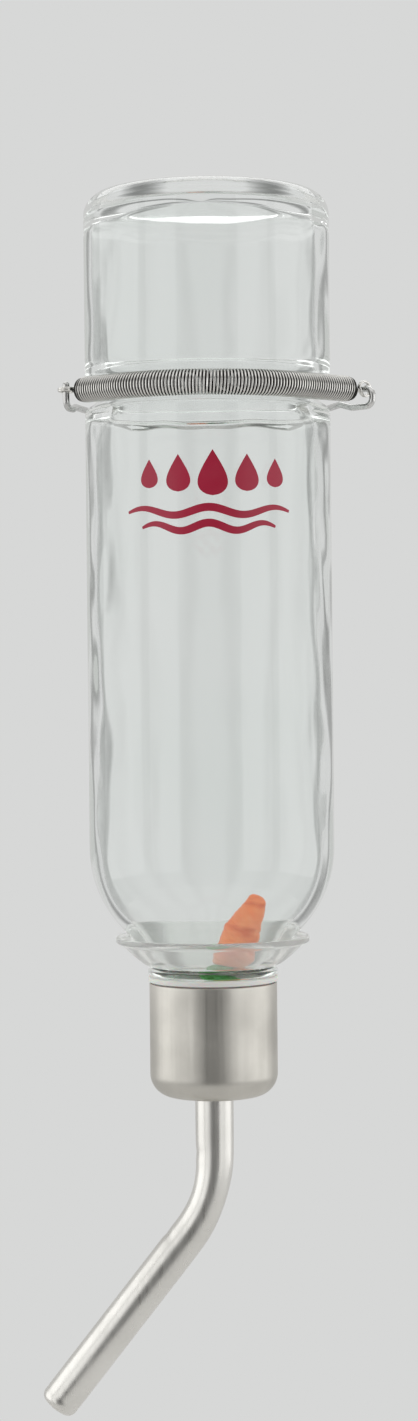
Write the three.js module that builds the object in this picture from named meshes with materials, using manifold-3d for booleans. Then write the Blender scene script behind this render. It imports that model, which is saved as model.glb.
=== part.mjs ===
// Small-animal water bottle: an inverted glass bottle with a spring hanger, a steel screw cap
// and a bent ball-valve drinking tube. It hangs outside a wire cage and the tube reaches in.
//
// Millimetres, +Z up. +Y points at the cage, so the spring runs round the -Y side.
// Origin: the cage clamp, half-way between the glass and the wire crossbar, level with the spring.
// Z = 0 is the middle of the spring groove. The bottle stands on its mouth, so its base is on top.

import * as THREE from 'three';
import { mergeVertices } from 'three/addons/utils/BufferGeometryUtils.js';
import Module from 'manifold-3d';

// ---------------------------------------------------------------- driving dimensions (mm)

const CAGE_GAP = 5.0;                 // between the back of the glass and the crossbar
const GLASS_R = 30.0;                 // body radius
const AXIS_Y = -(CAGE_GAP / 2 + GLASS_R);
const SEAM_GAP = 0.3;                 // running gap between touching pieces

const BASE_Z = 49.0;                  // outside of the base, on top while it hangs
const BASE_CORNER_R = 5.6;
const BASE_RING_R = 20.0;             // inner edge of the flat ring the bottle stands on
const PUNT_DEPTH = 2.6;
const BASE_THICKNESS = 3.2;
const WALL = 2.7;

const GROOVE_R = 26.7;                // groove floor radius
const GROOVE_CUT_R = 3.5;
const GROOVE_LIP_R = 2.2;
const GROOVE_SWELL = 3.1;             // how far the inner wall follows the groove

const SHOULDER_Z = -111.0;
const SHOULDER_ARC_R = 28.0;
const WAIST_R = 14.9;                 // between the shoulder and the neck bead
const WAIST_Z = -139.4;
const BEAD_R = 15.95;
const BEAD_TOP_Z = -140.5;
const BEAD_BOTTOM_Z = -142.05;
const MOUTH_Z = -158.6;
const NECK_BORE_R = 9.8;

const THREAD_PITCH = 4.23;
const FINISH_R = 12.4;                // neck under the thread
const THREAD_CREST_R = 13.5;
const THREAD_TURNS = 1.5;
const THREAD_MID_Z = -151.2;

const RING_R = 23.7;                  // clear ring that lies round the neck, under the shoulder
const RING_HOLE_R = 15.3;

const CAP_R = 15.65;
const CAP_TOP_Z = -143.95;
const CAP_BOTTOM_Z = -171.8;
const CAP_CORNER_R = 5.6;
const CAP_SHEET = 0.5;
const LINER_RIM_R = 15.95;
const LINER_R = 15.0;
const LINER_ROOT_R = 13.8;
const LINER_CREST_R = 12.75;
const LINER_FLOOR_Z = -161.0;

const SEAL_THICKNESS = 1.8;
const TUBE_R = 4.7;
const TUBE_WALL = 0.5;
const TUBE_TOP_Z = -157.2;
const BEND_Z = -197.7;                // where the two tube axes cross
const BEND_R = 32.0;
const BEND_ANGLE = 38.2 * Math.PI / 180;
const SPOUT_LENGTH = 64.0;            // from that crossing to the tip
const TIP_MOUTH_R = 2.8;
const BALL_R = 3.7;

const SPRING_R = 3.15;
const SPRING_WIRE = 0.7;
const SPRING_PITCH = 0.75;
const SPRING_RING_R = 30.2;           // radius of the spring's centre line round the glass
const SPRING_WRAP = 42.6 * Math.PI / 180;
const SPRING_TAIL_LEFT = 13.6;        // straight run from the glass to the left end
const SPRING_TAIL_RIGHT = 19.0;
const EYE_R = 1.75;
const EYE_OUT = 2.45;                 // the eyes stand on the outer side of the coils
const HOOK_WIRE_R = 0.8;

const FLOAT_TILT = 27 * Math.PI / 180;
const FLOAT_TIP = new THREE.Vector3(11.8, AXIS_Y, -122.8);
const FLOAT_BODY_LENGTH = 18.2;
const FLOAT_LENGTH = 31.0;

const ROUND = 32;                     // facets round the glass and the cap

// ---------------------------------------------------------------- helpers

const wasm = await Module();
wasm.setup();

function weld(geometry) {
  const bare = geometry.clone();
  bare.deleteAttribute('normal');
  bare.deleteAttribute('uv');
  return mergeVertices(bare, 1e-4);
}

function toSolid(geometry) {
  const welded = weld(geometry);
  const corners = welded.index.array;
  const kept = [];
  for (let i = 0; i < corners.length; i += 3) {
    const [a, b, c] = corners.slice(i, i + 3);
    if (a !== b && b !== c && c !== a) {
      kept.push(a, b, c);
    }
  }
  return new wasm.Manifold(new wasm.Mesh({
    numProp: 3,
    vertProperties: new Float32Array(welded.attributes.position.array),
    triVerts: new Uint32Array(kept),
  }));
}

function fromSolid(solid) {
  const mesh = solid.getMesh();
  const geometry = new THREE.BufferGeometry();
  geometry.setAttribute('position', new THREE.BufferAttribute(mesh.vertProperties, 3));
  geometry.setIndex(new THREE.BufferAttribute(mesh.triVerts, 1));
  geometry.computeVertexNormals();
  return geometry;
}

function join(first, ...others) {
  return fromSolid(others.reduce((sum, part) => sum.add(toSolid(part)), toSolid(first)));
}

// Turns a closed [radius, z] outline about the Z axis. The outline runs anticlockwise in (r, z).
function lathe(outline, segments = ROUND) {
  const points = outline.map(([r, z]) => new THREE.Vector2(r, z));
  if (outline[0][0] > 0) {
    points.push(points[0].clone());
  }
  const geometry = new THREE.LatheGeometry(points, segments);
  geometry.rotateX(Math.PI / 2);
  return geometry;
}

// Points on an arc about [r, z], from one angle to another, in degrees.
function arc(r, z, radius, from, to, steps) {
  const points = [];
  for (let i = 0; i <= steps; i += 1) {
    const angle = (from + (to - from) * i / steps) * Math.PI / 180;
    points.push([r + radius * Math.cos(angle), z + radius * Math.sin(angle)]);
  }
  return points;
}

// A helical ridge: a bar wound round the Z axis, with a trapezium section and tapered ends.
function helix({ innerR, outerR, innerWidth, outerWidth, turns, middleZ, startAngle = 0 }) {
  const steps = Math.round(turns * 22);
  const bar = new THREE.BoxGeometry(1, 1, 1, 1, 1, steps);
  const position = bar.attributes.position;
  const facing = innerR < outerR ? -1 : 1;
  for (let i = 0; i < position.count; i += 1) {
    const along = position.getZ(i) + 0.5;
    const out = position.getX(i) + 0.5;
    const fade = Math.min(1, Math.min(along, 1 - along) * turns * 8 + 0.12);
    const width = (innerWidth + (outerWidth - innerWidth) * out) * (0.35 + 0.65 * fade);
    const radius = innerR + (outerR - innerR) * out * fade;
    const angle = startAngle + along * turns * 2 * Math.PI;
    const z = middleZ + (along - 0.5) * turns * THREAD_PITCH + facing * position.getY(i) * width;
    position.setXYZ(i, radius * Math.cos(angle), radius * Math.sin(angle), z);
  }
  return bar;
}

// Carries a straight piece built along Z onto a curve. z = 0 is the curve's start.
function alongCurve(geometry, curve, length) {
  const samples = 600;
  const frames = curve.computeFrenetFrames(samples, false);
  const position = geometry.attributes.position;
  const normal = new THREE.Vector3();
  const binormal = new THREE.Vector3();
  for (let i = 0; i < position.count; i += 1) {
    const u = Math.min(Math.max(position.getZ(i) / length, 0), 1);
    const low = Math.min(Math.floor(u * samples), samples - 1);
    const mix = u * samples - low;
    normal.copy(frames.normals[low]).lerp(frames.normals[low + 1], mix).normalize();
    binormal.copy(frames.binormals[low]).lerp(frames.binormals[low + 1], mix).normalize();
    const point = curve.getPointAt(u);
    point.addScaledVector(normal, position.getX(i));
    point.addScaledVector(binormal, position.getY(i));
    position.setXYZ(i, point.x, point.y, point.z);
  }
  return geometry;
}

// A chain of straight runs and round corners through the given points.
function filletedPath(points, radius) {
  const path = new THREE.CurvePath();
  let from = points[0];
  for (let i = 1; i < points.length - 1; i += 1) {
    const back = points[i - 1].clone().sub(points[i]);
    const ahead = points[i + 1].clone().sub(points[i]);
    const angle = Math.PI - back.angleTo(ahead);
    const cut = radius * Math.tan(angle / 2);
    const start = points[i].clone().addScaledVector(back.normalize(), cut);
    const end = points[i].clone().addScaledVector(ahead.normalize(), cut);
    path.add(new THREE.LineCurve3(from, start));
    path.add(new FilletCurve(start, points[i], end, radius, angle));
    from = end;
  }
  path.add(new THREE.LineCurve3(from, points[points.length - 1]));
  return path;
}

class FilletCurve extends THREE.Curve {
  constructor(start, corner, end, radius, angle) {
    super();
    const tangent = corner.clone().sub(start).normalize();
    const leave = end.clone().sub(corner).normalize();
    const inward = leave.clone().addScaledVector(tangent, -leave.dot(tangent)).normalize();
    this.start = start;
    this.tangent = tangent;
    this.inward = inward;
    this.radius = radius;
    this.angle = angle;
  }

  getPoint(t, target = new THREE.Vector3()) {
    const turn = this.angle * t;
    return target.copy(this.start)
      .addScaledVector(this.tangent, this.radius * Math.sin(turn))
      .addScaledVector(this.inward, this.radius * (1 - Math.cos(turn)));
  }
}

// Round bar outline with eased ends, cut at every given station for bending.
function barOutline(radius, length, stations) {
  const ease = radius * 0.4;
  const outline = [[0, 0], [radius - ease, 0], [radius, ease]];
  for (const z of stations) {
    if (z > ease + 0.05 && z < length - ease - 0.05) {
      outline.push([radius, z]);
    }
  }
  outline.push([radius, length - ease], [radius - ease, length], [0, length]);
  return outline;
}

function evenly(from, to, count) {
  return Array.from({ length: count + 1 }, (_, i) => from + (to - from) * i / count);
}

const group = new THREE.Group();
group.name = 'water_bottle';

function addPiece(name, geometry, colour, roughness, metalness, extra = {}) {
  const material = new THREE.MeshStandardMaterial({ color: colour, roughness, metalness, ...extra });
  const mesh = new THREE.Mesh(geometry, material);
  mesh.name = name;
  group.add(mesh);
  return mesh;
}

function onBottleAxis(mesh) {
  mesh.position.y = AXIS_Y;
  return mesh;
}

// ---------------------------------------------------------------- glass bottle

const BOTTLE_STEPS = [-8, -5.2, -2.6, 0, 2.6, 5.2, 8];

function shoulderOutline() {
  const leave = 43;
  const curve = arc(GLASS_R - SHOULDER_ARC_R, SHOULDER_Z, SHOULDER_ARC_R, -leave, 0, 6);
  return [
    [WAIST_R, WAIST_Z - 0.6],
    [WAIST_R, WAIST_Z],
    [15.25, WAIST_Z + 1.2],
    [16.3, WAIST_Z + 2.5],
    [18.3, WAIST_Z + 4.7],
    [20.4, WAIST_Z + 7.0],
    ...curve,
  ];
}

function grooveOutline() {
  const lipCentreR = GLASS_R - GROOVE_LIP_R;
  const cutCentreR = SPRING_RING_R;
  const reach = GROOVE_CUT_R + GROOVE_LIP_R;
  const lipZ = Math.sqrt(reach ** 2 - (cutCentreR - lipCentreR) ** 2);
  const meet = Math.atan2(lipZ, cutCentreR - lipCentreR) * 180 / Math.PI;
  const cutR = cutCentreR - GROOVE_R;
  return [
    ...arc(lipCentreR, -lipZ, GROOVE_LIP_R, 0, meet, 3),
    ...arc(cutCentreR, 0, cutR, 180 + meet, 180 - meet, 6).slice(1, -1),
    ...arc(lipCentreR, lipZ, GROOVE_LIP_R, -meet, 0, 3),
  ];
}

function glassOutline() {
  const outside = [
    [NECK_BORE_R, MOUTH_Z + 0.9],
    [NECK_BORE_R + 0.7, MOUTH_Z],
    [FINISH_R - 0.7, MOUTH_Z],
    [FINISH_R, MOUTH_Z + 0.8],
    [FINISH_R, BEAD_BOTTOM_Z - 0.5],
    [FINISH_R + 0.5, BEAD_BOTTOM_Z],
    [BEAD_R - 0.4, BEAD_BOTTOM_Z],
    [BEAD_R, BEAD_BOTTOM_Z + 0.4],
    [BEAD_R, BEAD_TOP_Z - 0.4],
    [BEAD_R - 0.4, BEAD_TOP_Z],
    ...shoulderOutline(),
    ...grooveOutline(),
    ...arc(GLASS_R - BASE_CORNER_R, BASE_Z - BASE_CORNER_R, BASE_CORNER_R, 0, 90, 4),
    [BASE_RING_R, BASE_Z],
    [BASE_RING_R - 2.2, BASE_Z - 0.9],
    [BASE_RING_R * 0.5, BASE_Z - PUNT_DEPTH * 0.85],
    [0, BASE_Z - PUNT_DEPTH],
  ];
  const innerR = GLASS_R - WALL;
  const floorZ = BASE_Z - BASE_THICKNESS - PUNT_DEPTH;
  const swell = BOTTLE_STEPS.slice().reverse().map(
    (z) => [innerR - GROOVE_SWELL * Math.exp(-((z / 4.6) ** 2)), z],
  );
  const insideR = SHOULDER_ARC_R - WALL;
  const shoulderInside = arc(innerR - insideR, SHOULDER_Z, insideR, 0, -41, 6);
  const inside = [
    [0, floorZ],
    [innerR * 0.45, floorZ + 0.4],
    [innerR - 6.0, floorZ + 1.6],
    ...arc(innerR - 6.0, floorZ - 4.4, 6.0, 75, 0, 4),
    ...swell,
    ...shoulderInside,
    [18.4, -130.4],
    [16.0, -133.1],
    [13.8, -135.9],
    [12.2, -138.3],
    [10.9, -141.0],
    [NECK_BORE_R, -145.0],
  ];
  return [...outside, ...inside];
}

const finishThread = helix({
  innerR: FINISH_R - 0.5,
  outerR: THREAD_CREST_R,
  innerWidth: 2.3,
  outerWidth: 1.1,
  turns: THREAD_TURNS,
  middleZ: THREAD_MID_Z,
});

// The outline closes on the axis at both ends of the base.
function closedOnAxis(outline, segments = ROUND) {
  const top = outline.findIndex(([r]) => r === 0);
  const ordered = [...outline.slice(top + 1), ...outline.slice(0, top + 1)];
  return lathe(ordered, segments);
}

onBottleAxis(addPiece(
  'glass_bottle',
  join(closedOnAxis(glassOutline()), finishThread),
  0xe4ece8, 0.05, 0.0, { transparent: true, opacity: 0.3 },
));

// ---------------------------------------------------------------- neck ring

const ringOutline = [
  [RING_HOLE_R, -139.85],
  [17.4, -139.0],
  [19.6, -137.1],
  [21.6, -135.2],
  [RING_R - 0.9, -134.4],
  [RING_R - 0.2, -134.2],
  [RING_R, -133.8],
  [RING_R, -132.9],
  [RING_R - 0.4, -132.5],
  [RING_R - 1.2, -132.5],
  [RING_R - 1.7, -132.9],
  [20.8, -134.2],
  [18.7, -136.3],
  [16.8, -138.1],
  [RING_HOLE_R + 0.2, -138.95],
  [RING_HOLE_R, -139.15],
];
onBottleAxis(addPiece(
  'neck_ring', lathe(ringOutline), 0xe9efec, 0.1, 0.0, { transparent: true, opacity: 0.35 },
));

// ---------------------------------------------------------------- cap

const sheetInner = CAP_R - CAP_SHEET;
const shellOutline = [
  [TUBE_R + SEAM_GAP, CAP_BOTTOM_Z + CAP_SHEET],
  [TUBE_R + SEAM_GAP, CAP_BOTTOM_Z],
  ...arc(CAP_R - CAP_CORNER_R, CAP_BOTTOM_Z + CAP_CORNER_R, CAP_CORNER_R, -90, 0, 4),
  [CAP_R, CAP_TOP_Z - 0.2],
  [CAP_R - 0.15, CAP_TOP_Z],
  [sheetInner + 0.1, CAP_TOP_Z],
  [sheetInner, CAP_TOP_Z - 0.2],
  ...arc(
    CAP_R - CAP_CORNER_R, CAP_BOTTOM_Z + CAP_CORNER_R, CAP_CORNER_R - CAP_SHEET, 0, -90, 4,
  ),
];
onBottleAxis(addPiece('cap_shell', lathe(shellOutline), 0xb9b6b0, 0.35, 1.0));

const linerRimTop = BEAD_BOTTOM_Z - SEAM_GAP;
const linerFloorBottom = LINER_FLOOR_Z - 2.0;
const bossBottom = CAP_BOTTOM_Z + CAP_SHEET + SEAM_GAP;
const GROMMET_R = 6.4;
const linerOutline = [
  [GROMMET_R + SEAM_GAP, bossBottom],
  [8.4, bossBottom],
  [8.8, linerFloorBottom],
  [LINER_R - 1.4, linerFloorBottom],
  [LINER_R, linerFloorBottom + 1.4],
  [LINER_R, CAP_TOP_Z + SEAM_GAP],
  [LINER_RIM_R, CAP_TOP_Z + SEAM_GAP],
  [LINER_RIM_R, linerRimTop - 0.3],
  [LINER_RIM_R - 0.3, linerRimTop],
  [LINER_ROOT_R + 0.3, linerRimTop],
  [LINER_ROOT_R, linerRimTop - 0.4],
  [LINER_ROOT_R, LINER_FLOOR_Z],
  [GROMMET_R + SEAM_GAP, LINER_FLOOR_Z],
];
const linerThread = helix({
  innerR: LINER_ROOT_R + 0.4,
  outerR: LINER_CREST_R,
  innerWidth: 2.2,
  outerWidth: 1.1,
  turns: THREAD_TURNS,
  middleZ: THREAD_MID_Z,
  startAngle: Math.PI,
});
onBottleAxis(addPiece('cap_liner', join(lathe(linerOutline), linerThread), 0xf1f0ea, 0.5, 0.0));

const sealTop = MOUTH_Z - SEAM_GAP;
const sealOutline = [
  [TUBE_R + SEAM_GAP, sealTop - SEAL_THICKNESS],
  [LINER_ROOT_R - 0.5, sealTop - SEAL_THICKNESS],
  [LINER_ROOT_R - 0.3, sealTop - SEAL_THICKNESS / 2],
  [LINER_ROOT_R - 0.5, sealTop],
  [TUBE_R + SEAM_GAP, sealTop],
];
onBottleAxis(addPiece('mouth_seal', lathe(sealOutline, 24), 0xd9d8d2, 0.7, 0.0));

const grommetTop = sealTop - SEAL_THICKNESS - SEAM_GAP;
const grommetOutline = [
  [TUBE_R + SEAM_GAP, bossBottom],
  [GROMMET_R, bossBottom],
  [GROMMET_R, grommetTop],
  [TUBE_R + SEAM_GAP, grommetTop],
];
onBottleAxis(addPiece('tube_grommet', lathe(grommetOutline, 24), 0x4a4b4c, 0.8, 0.0));

// ---------------------------------------------------------------- drinking tube

const TUBE_BORE_R = TUBE_R - TUBE_WALL;
const bendCut = BEND_R * Math.tan(BEND_ANGLE / 2);
const uprightRun = TUBE_TOP_Z - BEND_Z - bendCut;
const bendRun = BEND_R * BEND_ANGLE;
const spoutRun = SPOUT_LENGTH - bendCut;
const tubeLength = uprightRun + bendRun + spoutRun;
const spoutAim = new THREE.Vector3(-Math.sin(BEND_ANGLE), 0, -Math.cos(BEND_ANGLE));
const bendPoint = new THREE.Vector3(0, AXIS_Y, BEND_Z);
const tipPoint = bendPoint.clone().addScaledVector(spoutAim, SPOUT_LENGTH);
const tubePath = filletedPath([
  new THREE.Vector3(0, AXIS_Y, TUBE_TOP_Z),
  bendPoint,
  tipPoint,
], BEND_R);

const bendStations = evenly(uprightRun, uprightRun + bendRun, 9);
// The tip is rolled in to a rounded rim that holds the ball.
const tubeOutline = [
  [TUBE_BORE_R, 0],
  ...bendStations.map((s) => [TUBE_BORE_R, s]),
  [TUBE_BORE_R, tubeLength - 3.2],
  [TUBE_BORE_R - 0.2, tubeLength - 1.75],
  [TIP_MOUTH_R + 0.45, tubeLength - 0.42],
  [TIP_MOUTH_R, tubeLength - 0.1],
  [TIP_MOUTH_R + 0.45, tubeLength],
  [TUBE_R - 0.75, tubeLength - 0.3],
  [TUBE_R - 0.2, tubeLength - 1.0],
  [TUBE_R, tubeLength - 2.1],
  ...bendStations.slice().reverse().map((s) => [TUBE_R, s]),
  [TUBE_R, 0],
];
const straightTube = lathe(tubeOutline.slice().reverse(), 20);
addPiece('drinking_tube', alongCurve(straightTube, tubePath, tubeLength), 0xc9cac8, 0.28, 1.0);

const ringBottom = sealTop + SEAM_GAP;
const tubeCollarOutline = [
  [TUBE_R + SEAM_GAP / 2, ringBottom],
  [7.4, ringBottom],
  [7.4, ringBottom + 0.9],
  [5.6, ringBottom + 1.3],
  [TUBE_R + SEAM_GAP / 2, ringBottom + 1.3],
];
onBottleAxis(addPiece('tube_collar', lathe(tubeCollarOutline, 20), 0xc9cac8, 0.3, 1.0));

const seatDepth = Math.sqrt(BALL_R ** 2 - TIP_MOUTH_R ** 2) + 0.5;
function addBall(name, backFromTip) {
  const ball = addPiece(name, new THREE.SphereGeometry(BALL_R, 18, 10), 0xd2d3d2, 0.15, 1.0);
  ball.position.copy(tipPoint).addScaledVector(spoutAim, -backFromTip);
}
addBall('tip_ball', seatDepth);
addBall('upper_ball', seatDepth + 2 * BALL_R + 0.2);

// ---------------------------------------------------------------- carrot float

const floatAxis = new THREE.Vector3(Math.sin(FLOAT_TILT), 0, Math.cos(FLOAT_TILT));
const floatFoot = FLOAT_TIP.clone().addScaledVector(floatAxis, -FLOAT_LENGTH);
const crownLength = FLOAT_LENGTH - FLOAT_BODY_LENGTH - SEAM_GAP;

function addFloatPiece(name, geometry, colour, roughness, from) {
  const mesh = addPiece(name, geometry, colour, roughness, 0.0);
  mesh.position.copy(floatFoot).addScaledVector(floatAxis, from);
  mesh.rotation.y = FLOAT_TILT;
}

const carrotOutline = [
  [0, 0],
  [4.0, 0],
  [4.8, 0.7],
  [5.0, 2.0],
  [4.85, 4.5],
  [4.5, 7.2],
  [4.0, 10.7],
  [3.25, 13.2],
  [2.65, 15.2],
  [1.95, 17.0],
  [1.2, 17.8],
  [0, FLOAT_BODY_LENGTH],
];
addFloatPiece('float_carrot', lathe(carrotOutline, 18), 0xe8622c, 0.5, crownLength + SEAM_GAP);

// The leaf crown is a lobed plug: its radius swells and dips round the axis.
const crownOutline = [
  [0, 0],
  [2.7, 0],
  [3.2, 1.2],
  [4.0, 6.0],
  [4.3, 10.0],
  [3.6, crownLength],
];
const crown = lathe([...crownOutline, [0, crownLength]], 20);
const crownPosition = crown.attributes.position;
for (let i = 0; i < crownPosition.count; i += 1) {
  const x = crownPosition.getX(i);
  const y = crownPosition.getY(i);
  const swell = 1 + 0.13 * Math.cos(5 * Math.atan2(y, x));
  crownPosition.setXY(i, x * swell, y * swell);
}
addFloatPiece('float_leaves', crown, 0x2f8a3a, 0.6, 0);

// ---------------------------------------------------------------- hanger spring

const wrapTurn = (side) => side * SPRING_WRAP;
function springTangent(side) {
  const turn = wrapTurn(side);
  return new THREE.Vector3(Math.cos(turn) * side, Math.abs(Math.sin(turn)), 0);
}
function springLeave(side) {
  const turn = wrapTurn(side);
  return new THREE.Vector3(
    SPRING_RING_R * Math.sin(turn),
    AXIS_Y - SPRING_RING_R * Math.cos(turn),
    0,
  );
}

class SpringLine extends THREE.Curve {
  getPoint(t, target = new THREE.Vector3()) {
    const wrapRun = SPRING_RING_R * SPRING_WRAP;
    const along = t * springLength - wrapRun - SPRING_TAIL_LEFT;
    if (Math.abs(along) > wrapRun) {
      const side = Math.sign(along);
      return target.copy(springLeave(side))
        .addScaledVector(springTangent(side), Math.abs(along) - wrapRun);
    }
    const turn = along / SPRING_RING_R;
    return target.set(
      SPRING_RING_R * Math.sin(turn),
      AXIS_Y - SPRING_RING_R * Math.cos(turn),
      0,
    );
  }
}

const springLength = 2 * SPRING_RING_R * SPRING_WRAP + SPRING_TAIL_LEFT + SPRING_TAIL_RIGHT;
const springLine = new SpringLine();
const COILS_PER_RIDGE = 2;
const ridgeCount = Math.round(springLength / (SPRING_PITCH * COILS_PER_RIDGE));
const sleeveOutline = [];
for (let i = 0; i <= ridgeCount * 2; i += 1) {
  const s = springLength * i / (ridgeCount * 2);
  const fromEnd = Math.min(s, springLength - s);
  const close = fromEnd < 1.6 ? 0.55 * (1 - fromEnd / 1.6) : 0;
  const crest = i % 2 === 1;
  sleeveOutline.push([(crest ? SPRING_R : SPRING_R - 0.3) - close, s]);
}
for (const s of evenly(springLength, 0, 20)) {
  const fromEnd = Math.min(s, springLength - s);
  sleeveOutline.push([SPRING_R - SPRING_WIRE - 0.25 - (fromEnd < 1 ? 0.35 : 0), s]);
}
const sleeve = alongCurve(lathe(sleeveOutline, 10), springLine, springLength);

function outwardOf(side) {
  return springLeave(side).setY(springLeave(side).y - AXIS_Y).normalize();
}

function eyeCentre(side) {
  return springLine.getPoint(side > 0 ? 1 : 0)
    .addScaledVector(springTangent(side), EYE_R + 0.75)
    .addScaledVector(outwardOf(side), EYE_OUT);
}

// A double-turn eye at each end: on the right it faces the front, on the left it lies flat.
function springEye(side, faceUp) {
  const aim = springTangent(side);
  const centre = eyeCentre(side);
  const eye = new THREE.TorusGeometry(EYE_R, SPRING_WIRE / 2, 6, 14);
  eye.scale(1, 1, 1.7);
  const shank = new THREE.CylinderGeometry(SPRING_WIRE / 2, SPRING_WIRE / 2, 2.6, 6);
  shank.rotateZ(Math.PI / 2);
  shank.translate(-EYE_R - 1.2, 0, 0);
  const up = new THREE.Vector3(0, 0, 1);
  const across = new THREE.Vector3().crossVectors(up, aim);
  const turn = faceUp
    ? new THREE.Matrix4().makeBasis(aim, across, up)
    : new THREE.Matrix4().makeBasis(aim, up, across.clone().negate());
  turn.setPosition(centre);
  return [eye, shank].map((part) => part.applyMatrix4(turn));
}

addPiece(
  'hanger_spring',
  join(sleeve, ...springEye(1, false), ...springEye(-1, true)),
  0xd8d8d6, 0.22, 1.0,
);

// ---------------------------------------------------------------- hanger wire

const CROSSBAR_Y = CAGE_GAP / 2 + HOOK_WIRE_R;
const CROSSBAR_REACH = 23.0;          // half the crossbar's length
const HOOK_Z = -4.2;
const ARM_Z = -3.0;
const rightEye = eyeCentre(1);
const leftEye = eyeCentre(-1);
const hookAim = outwardOf(1);
const KNEE_X = 32.4;
const KNEE_Y = AXIS_Y - 1.5;

function rightHook() {
  const through = (along, z) => rightEye.clone().addScaledVector(hookAim, along).setZ(z);
  return [
    through(-2.4, 0),
    through(2.6, 0),
    through(2.6, HOOK_Z),
    through(-4.4, HOOK_Z),
    new THREE.Vector3(KNEE_X, KNEE_Y, ARM_Z),
    new THREE.Vector3(CROSSBAR_REACH, CROSSBAR_Y, ARM_Z),
  ];
}

function leftHook() {
  return [
    new THREE.Vector3(-CROSSBAR_REACH, CROSSBAR_Y, ARM_Z),
    new THREE.Vector3(-KNEE_X, KNEE_Y, ARM_Z),
    leftEye.clone().add(new THREE.Vector3(1.4, 4.5, 0)).setZ(HOOK_Z),
    leftEye.clone().setZ(HOOK_Z),
    leftEye.clone().setZ(2.0),
  ];
}

const wirePath = filletedPath([...rightHook(), ...leftHook()], 2.05);
const wireLength = wirePath.getLength();
const wireStations = evenly(0, wireLength, 96).slice(1, -1);
addPiece(
  'hanger_wire',
  alongCurve(lathe(barOutline(HOOK_WIRE_R, wireLength, wireStations), 8), wirePath, wireLength),
  0xc4c4c2, 0.25, 1.0,
);

export default group;
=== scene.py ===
"""Looks of the small-animal water bottle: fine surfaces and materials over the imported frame.

Shapes are in millimetres and become metres when a mesh is made. Bump heights, lamps and the
camera are in metres.
"""

import math
import random

import bmesh
import bpy
from mathutils import Matrix, Vector, noise


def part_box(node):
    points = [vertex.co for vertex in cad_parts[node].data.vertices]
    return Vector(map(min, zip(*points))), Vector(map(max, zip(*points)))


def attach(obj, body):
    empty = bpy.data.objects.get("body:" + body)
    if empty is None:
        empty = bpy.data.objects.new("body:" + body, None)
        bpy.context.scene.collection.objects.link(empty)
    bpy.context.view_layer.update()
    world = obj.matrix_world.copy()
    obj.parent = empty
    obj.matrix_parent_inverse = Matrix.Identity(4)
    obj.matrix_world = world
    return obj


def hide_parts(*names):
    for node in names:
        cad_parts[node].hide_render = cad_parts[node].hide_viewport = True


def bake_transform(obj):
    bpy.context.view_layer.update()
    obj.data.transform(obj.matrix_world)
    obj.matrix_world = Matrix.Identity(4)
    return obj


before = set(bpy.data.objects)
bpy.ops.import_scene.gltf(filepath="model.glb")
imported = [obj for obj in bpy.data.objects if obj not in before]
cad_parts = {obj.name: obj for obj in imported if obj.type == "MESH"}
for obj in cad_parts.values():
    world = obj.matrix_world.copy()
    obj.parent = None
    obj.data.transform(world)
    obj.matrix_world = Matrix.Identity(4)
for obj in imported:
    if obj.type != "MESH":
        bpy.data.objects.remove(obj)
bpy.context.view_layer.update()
random.seed(7)

MM = 0.001
TAU = 2 * math.pi


def box_mm(node):
    """The low and high corners of a CAD node."""
    low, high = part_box(node)
    return low / MM, high / MM


# ---- places read from the frame

glass_low, glass_high = box_mm("glass_bottle")
AXIS_Y = (glass_low.y + glass_high.y) / 2
GLASS_R = (glass_high.x - glass_low.x) / 2
BASE_Z = glass_high.z
MOUTH_Z = glass_low.z
shell_low, shell_high = box_mm("cap_shell")
CAP_R = (shell_high.x - shell_low.x) / 2
CAP_TOP_Z = shell_high.z
CAP_BOTTOM_Z = shell_low.z
liner_low, liner_high = box_mm("cap_liner")
LINER_RIM_R = (liner_high.x - liner_low.x) / 2
LINER_TOP_Z = liner_high.z
LINER_BOTTOM_Z = liner_low.z
ring_low, ring_high = box_mm("neck_ring")
RING_R = (ring_high.x - ring_low.x) / 2
tube_low, tube_high = box_mm("drinking_tube")
TUBE_TOP_Z = tube_high.z
TUBE_R = (tube_high.y - tube_low.y) / 2
seal_low, seal_high = box_mm("mouth_seal")
SEAL_R = (seal_high.x - seal_low.x) / 2
grommet_low, grommet_high = box_mm("tube_grommet")
collar_low, collar_high = box_mm("tube_collar")
COLLAR_R = (collar_high.x - collar_low.x) / 2

# ---- dimensions (millimetres)

WALL = 2.7
GROOVE_R = 26.7
GROOVE_LIP_R = 2.2
BASE_CORNER_R = 5.6
BASE_RING_R = 20.0
PUNT_DEPTH = 2.6
BASE_THICKNESS = 3.2
SHOULDER_Z = -111.0
SHOULDER_ARC_R = 28.0
WAIST_R = 14.9
WAIST_Z = -139.4
BEAD_R = 15.95
BEAD_TOP_Z = -140.5
BEAD_BOTTOM_Z = -142.05
NECK_BORE_R = 9.8
MOUTH_EDGE_R = 0.8
BEAD_EDGE_R = 0.5
INNER_CORNER_R = 6.0
GROOVE_INNER_DEPTH = 3.1               # the groove's soft bulge on the inner wall
GROOVE_INNER_SPREAD = 4.6
GROOVE_INNER_REACH = 12.0
SWELL_FOOT_Z = -128.0                  # the pressed wall is uneven from here up
SWELL_RISE = 14.0
FINISH_R = 12.4
THREAD_CREST_R = 13.5
THREAD_PITCH = 4.23
THREAD_TURNS = 1.5
THREAD_MID_Z = -151.2
RING_HOLE_R = 15.3
RING_RIM_R = 0.6

CAP_CORNER_R = 5.6
CAP_SHEET = 0.5
LINER_R = 15.0
LINER_ROOT_R = 13.8
LINER_CREST_R = 12.75
LINER_FLOOR_Z = -161.0
LINER_FLOOR = 2.0
LINER_CORNER_R = 1.4
LINER_BOSS_R = 8.4
GROMMET_R = 6.4
GROMMET_RIBS = 4
SEAM_GAP = 0.3

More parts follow.
